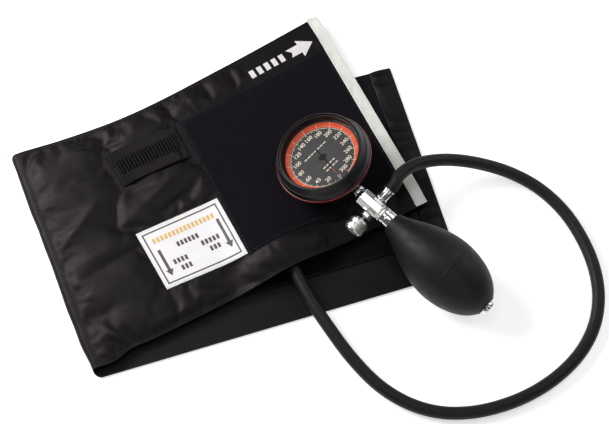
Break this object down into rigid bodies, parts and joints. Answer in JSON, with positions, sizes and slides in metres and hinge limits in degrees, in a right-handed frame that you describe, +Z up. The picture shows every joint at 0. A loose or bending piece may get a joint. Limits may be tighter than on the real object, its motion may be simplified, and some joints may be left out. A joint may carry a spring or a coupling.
{
  "type": "aneroid blood pressure cuff",
  "caption": "Folded arm cuff with bladder, hook-and-loop panels and a rubber hose to a palm gauge with release valve and squeeze bulb.",
  "frame": {"origin": "centre of the footprint without the hose, on the surface the cuff lies on", "axes": "+X square to the fold, from the fold to the cuff's open end; +Y along the fold, away from the bulb; +Z up"},
  "size_m": [0.3207, 0.2933, 0.0499],
  "materials": {
    "nylon_cloth": "woven satin",
    "hook_and_loop": "napped matte",
    "webbing": "ribbed matte",
    "index_tape": "coated matte",
    "label_fabric": "coated satin",
    "bladder_rubber": "matte",
    "port_rubber": "matte",
    "black_rubber": "matte",
    "case_plastic": "satin",
    "red_plastic": "satin",
    "orange_plastic": "satin",
    "clear_lens": "clear",
    "dial_face": "printed matte",
    "pointer_paint": "satin",
    "brass": "turned",
    "steel": "turned",
    "chrome": "polished"
  },
  "bodies": {
    "cuff_upper": {"artery_label": "label_fabric", "bladder": "bladder_rubber", "bulb": "black_rubber", "bulb_connector": "chrome", "capsule_base": "brass", "dial_plate": "dial_face", "fold_web": "nylon_cloth", "gauge_back_case": "case_plastic", "gauge_bezel": "case_plastic", "gauge_clip_loop": "webbing", "gauge_lens": "clear_lens", "gauge_stem": "chrome", "gland_nut": "chrome", "hose": "black_rubber", "hose_barb": "chrome", "index_strip": "index_tape", "inlet_filter": "steel", "inlet_valve": "chrome", "loop_panel": "hook_and_loop", "movement_bottom_plate": "brass", "movement_foot_1": "brass", "movement_foot_2": "brass", "movement_foot_3": "brass", "movement_pillar_1": "brass", "movement_pillar_2": "brass", "movement_pillar_3": "brass", "movement_top_plate": "brass", "port_spigot": "port_rubber", "port_stem": "port_rubber", "red_ring": "red_plastic", "rubber_bumper": "black_rubber", "scale_ring": "orange_plastic", "upper_cover": "nylon_cloth", "upper_inner_cloth": "nylon_cloth", "valve_block": "chrome"},
    "cuff_lower": {"lower_cover": "nylon_cloth", "lower_inner_cloth": "nylon_cloth", "hook_panel": "hook_and_loop", "end_hem": "nylon_cloth"},
    "pointer": {"pointer": "pointer_paint", "pointer_hub": "pointer_paint", "pointer_arbor": "steel", "pinion": "brass", "hairspring": "steel"},
    "sector": {"sector_gear": "brass", "sector_shaft": "steel"},
    "rocker": {"rocker_shaft": "steel", "rocker_lever": "steel"},
    "capsule_top": {"capsule_top": "brass", "push_rod": "steel"},
    "release_spindle": {"release_spindle": "steel"},
    "release_knob": {"release_knob": "chrome"},
    "outlet_ball": {"outlet_ball": "steel"},
    "inlet_ball": {"inlet_ball": "steel"}
  },
  "joints": [
    {"name": "cuff_fold", "type": "hinge", "parent": "cuff_upper", "child": "cuff_lower", "pos_m": [-0.1276, 0.0213, 0.00315], "axis": [0, 1, 0], "range_deg": [0, 180]},
    {"name": "pointer_sweep", "type": "hinge", "parent": "cuff_upper", "child": "pointer", "pos_m": [0.0527, 0.0118, 0.042], "axis": [-0.232, 0.184, 0.9551], "range_deg": [-342, 0], "stiffness_Nm_per_rad": 0.00002, "springref_deg": 34.38},
    {"name": "sector_turn", "type": "hinge", "parent": "cuff_upper", "child": "sector", "pos_m": [0.05058, 0.02401, 0.02552], "axis": [-0.232, 0.184, 0.9551], "range_deg": [0, 38]},
    {"name": "rocker_turn", "type": "hinge", "parent": "cuff_upper", "child": "rocker", "pos_m": [0.05421, 0.01586, 0.02316], "axis": [-0.9182, -0.3657, -0.1526], "range_deg": [0, 7.3]},
    {"name": "capsule_lift", "type": "slide", "parent": "cuff_upper", "child": "capsule_top", "axis": [-0.232, 0.184, 0.9551], "range_m": [0, 0.001]},
    {"name": "release_travel", "type": "slide", "parent": "cuff_upper", "child": "release_spindle", "axis": [-0.8986, -0.4034, -0.1727], "range_m": [0, 0.0014]},
    {"name": "release_turn", "type": "hinge", "parent": "release_spindle", "child": "release_knob", "pos_m": [0.07158, -0.03143, 0.03007], "axis": [-0.8986, -0.4034, -0.1727], "range_deg": [0, 720]},
    {"name": "outlet_ball_lift", "type": "slide", "parent": "cuff_upper", "child": "outlet_ball", "axis": [-0.424, 0.8996, 0.1048], "range_m": [0, 0.0008]},
    {"name": "inlet_ball_lift", "type": "slide", "parent": "cuff_upper", "child": "inlet_ball", "axis": [-0.424, 0.8996, 0.1048], "range_m": [0, 0.001]}
  ],
  "couplings": [
    {"joint": "sector_turn", "follows": "capsule_lift", "rad_per_m": 663.22},
    {"joint": "pointer_sweep", "follows": "capsule_lift", "rad_per_m": -5969},
    {"joint": "rocker_turn", "follows": "capsule_lift", "rad_per_m": 125.35},
    {"joint": "release_travel", "follows": "release_turn", "m_per_rad": 0.0001114}
  ]
}
